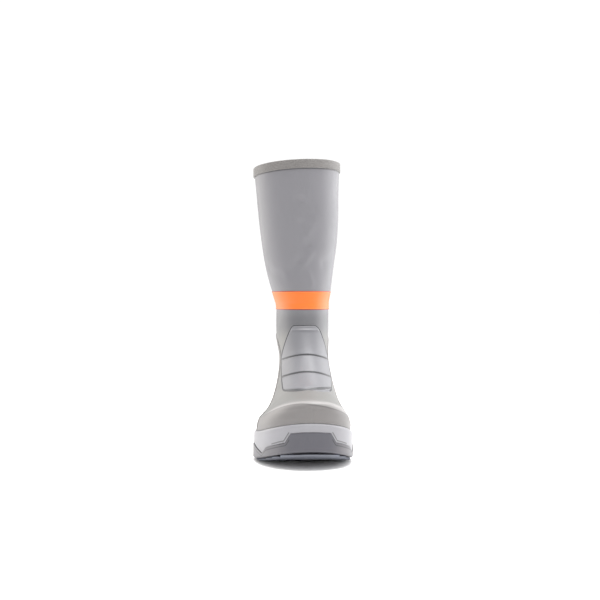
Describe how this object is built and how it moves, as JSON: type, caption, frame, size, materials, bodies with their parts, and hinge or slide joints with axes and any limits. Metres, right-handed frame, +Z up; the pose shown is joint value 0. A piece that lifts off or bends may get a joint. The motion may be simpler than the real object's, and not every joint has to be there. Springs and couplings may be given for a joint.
{
  "type": "deck boot",
  "caption": "Knee-low rubber deck boot for the right foot: hollow leg and foot, padded instep guard, ankle band, bound collar, light foxing and dark lugged sole.",
  "frame": {"origin": "on the floor under the middle of the boot's box", "axes": "+Z up the leg, -Y towards the toe, +X towards the medial side of this right boot"},
  "size_m": [0.1242, 0.309, 0.387],
  "materials": {
    "tread_rubber": "dark grey satin outsole rubber",
    "foxing_rubber": "light grey matt rubber",
    "footbed": "dark grey brushed textile on foam",
    "leg_rubber": "mid grey satin rubber",
    "rand_rubber": "warm grey satin rubber",
    "guard_rubber": "light cool grey satin rubber",
    "band_rubber": "bright orange satin rubber",
    "binding_rubber": "grey rubber tape with a fine weave mark"
  },
  "bodies": {
    "root": {"outsole": "tread_rubber", "midsole": "foxing_rubber", "insole": "footbed", "upper": "leg_rubber", "toe_guard": "rand_rubber", "instep_guard": "guard_rubber", "heel_guard": "rand_rubber", "ankle_band": "band_rubber", "collar_binding": "binding_rubber"}
  },
  "joints": []
}
